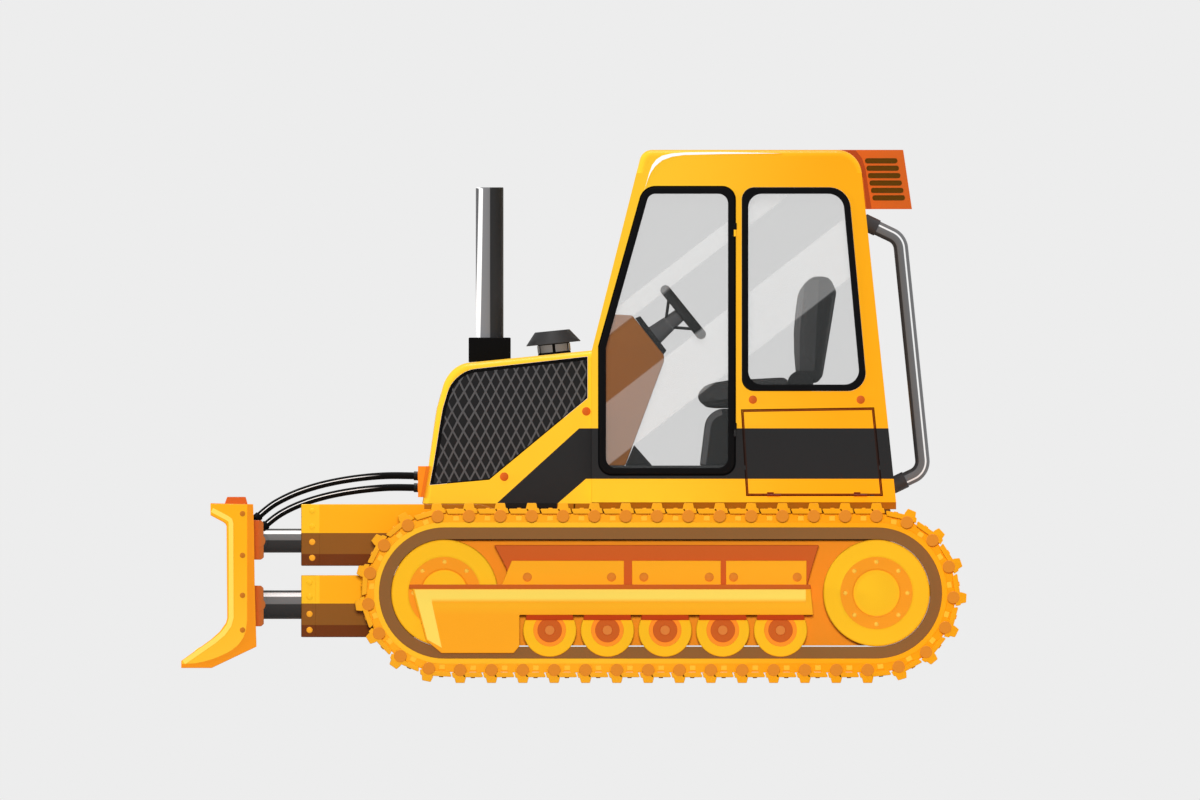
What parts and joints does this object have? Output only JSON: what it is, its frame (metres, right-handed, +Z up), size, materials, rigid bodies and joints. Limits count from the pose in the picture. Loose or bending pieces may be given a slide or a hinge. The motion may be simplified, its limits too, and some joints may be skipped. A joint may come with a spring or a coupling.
{
  "type": "crawler bulldozer",
  "caption": "Crawler bulldozer with a front blade on parallel lift arms, an enclosed cab with doors, side engine mesh, exhaust stack and two fixed tracks.",
  "frame": {"origin": "bottom centre of the machine's bounding box, on the ground under the tracks' lugs", "axes": "+X forward to the blade, +Y to the operator's left, +Z up"},
  "size_m": [4.7126, 2.9, 3.199],
  "materials": {
    "yellow_paint": "gloss",
    "orange_paint": "gloss",
    "wheel_paint": "satin",
    "track_paint": "satin",
    "dark_paint": "satin",
    "black_paint": "satin",
    "engine_paint": "matt",
    "exhaust_steel": "brushed",
    "rod_steel": "polished",
    "tube_steel": "satin",
    "mesh_steel": "satin",
    "glass": "clear",
    "black_rubber": "matt",
    "hose_rubber": "matt",
    "seat_cover": "grained",
    "grey_plastic": "grained",
    "brown_plastic": "grained",
    "black_plastic": "grained"
  },
  "bodies": {
    "chassis": {"ac_unit": "orange_paint", "air_precleaner": "black_paint", "cab_floor": "dark_paint", "cab_front": "yellow_paint", "cab_glass": "glass", "cab_rear": "yellow_paint", "cab_roof": "yellow_paint", "cab_side_left": "yellow_paint", "cab_side_right": "yellow_paint", "console": "brown_plastic", "drawbar": "dark_paint", "engine_block": "engine_paint", "exhaust_stack": "exhaust_steel", "footrests": "black_plastic", "guard_tubes": "tube_steel", "hood": "yellow_paint", "hose_lower_left": "hose_rubber", "hose_lower_right": "hose_rubber", "hose_manifolds": "orange_paint", "hose_upper_left": "hose_rubber", "hose_upper_right": "hose_rubber", "idlers": "wheel_paint", "main_frame": "dark_paint", "mesh_panel_left": "mesh_steel", "mesh_panel_right": "mesh_steel", "nose_frame": "dark_paint", "pivot_ears": "dark_paint", "radiator_grille": "black_paint", "rollers": "wheel_paint", "seat_back": "seat_cover", "seat_base": "grey_plastic", "seat_cushion": "seat_cover", "seat_hinges": "grey_plastic", "sprockets": "wheel_paint", "track_frame_left": "orange_paint", "track_frame_right": "orange_paint", "track_guards": "orange_paint", "track_left": "track_paint", "track_right": "track_paint", "window_seals": "black_rubber"},
    "push_arms": {"push_arm_left": "yellow_paint", "push_arm_right": "yellow_paint", "push_rods": "rod_steel", "cross_tube": "orange_paint"},
    "upper_arms": {"upper_arm_left": "yellow_paint", "upper_arm_right": "yellow_paint", "upper_rods": "rod_steel", "hose_fittings": "orange_paint"},
    "blade": {"blade_shell": "yellow_paint", "cutting_edge": "yellow_paint", "blade_brackets": "orange_paint"},
    "lift_barrels": {"lift_barrels": "orange_paint"},
    "lift_rods": {"lift_rods": "rod_steel"},
    "door_left": {"door_left": "black_rubber", "door_glass_left": "glass"},
    "door_right": {"door_right": "black_rubber", "door_glass_right": "glass"},
    "flap_left": {"service_flap_left": "yellow_paint"},
    "flap_right": {"service_flap_right": "yellow_paint"},
    "steering": {"steering_wheel": "black_plastic"}
  },
  "joints": [
    {"name": "blade_lift", "type": "hinge", "parent": "chassis", "child": "push_arms", "pos_m": [0.09, 0, 0.47], "axis": [0, -1, 0], "range_deg": [-10, 25], "deforming": ["hose_lower_left", "hose_lower_right", "hose_upper_left", "hose_upper_right"]},
    {"name": "upper_arm_swing", "type": "hinge", "parent": "chassis", "child": "upper_arms", "pos_m": [0.09, 0, 0.854], "axis": [0, -1, 0], "range_deg": [-11, 26]},
    {"name": "blade_level", "type": "hinge", "parent": "push_arms", "child": "blade", "pos_m": [1.89, 0, 0.47], "axis": [0, -1, 0], "range_deg": [-26, 11]},
    {"name": "lift_barrel_swing", "type": "hinge", "parent": "chassis", "child": "lift_barrels", "pos_m": [0.15, 0, 0.7], "axis": [0, -1, 0], "range_deg": [-11.2, 26.5]},
    {"name": "lift_rod_slide", "type": "slide", "parent": "lift_barrels", "child": "lift_rods", "axis": [0.9547, 0, -0.2977], "range_m": [-0.10623, 0.04549]},
    {"name": "door_left_swing", "type": "hinge", "parent": "chassis", "child": "door_left", "pos_m": [-0.969, 0.7153, 1.25], "axis": [0, 0, 1], "range_deg": [0, 120]},
    {"name": "door_right_swing", "type": "hinge", "parent": "chassis", "child": "door_right", "pos_m": [-0.969, -0.7153, 1.25], "axis": [0, 0, -1], "range_deg": [0, 120]},
    {"name": "flap_left_drop", "type": "hinge", "parent": "chassis", "child": "flap_left", "pos_m": [-1.4, 0.7093, 1.125], "axis": [-1, 0, 0], "range_deg": [0, 90]},
    {"name": "flap_right_drop", "type": "hinge", "parent": "chassis", "child": "flap_right", "pos_m": [-1.4, -0.7093, 1.125], "axis": [1, 0, 0], "range_deg": [0, 90]},
    {"name": "steering_turn", "type": "hinge", "parent": "chassis", "child": "steering", "pos_m": [-0.656, 0, 2.225], "axis": [-0.7782, 0, 0.628], "range_deg": [-450, 450]}
  ],
  "couplings": [
    {"joint": "upper_arm_swing", "follows": "blade_lift", "ratio": 1},
    {"joint": "blade_level", "follows": "blade_lift", "ratio": -1},
    {"joint": "lift_barrel_swing", "follows": "blade_lift", "ratio": 1.02},
    {"joint": "lift_rod_slide", "follows": "blade_lift", "m_per_rad": -0.232}
  ]
}
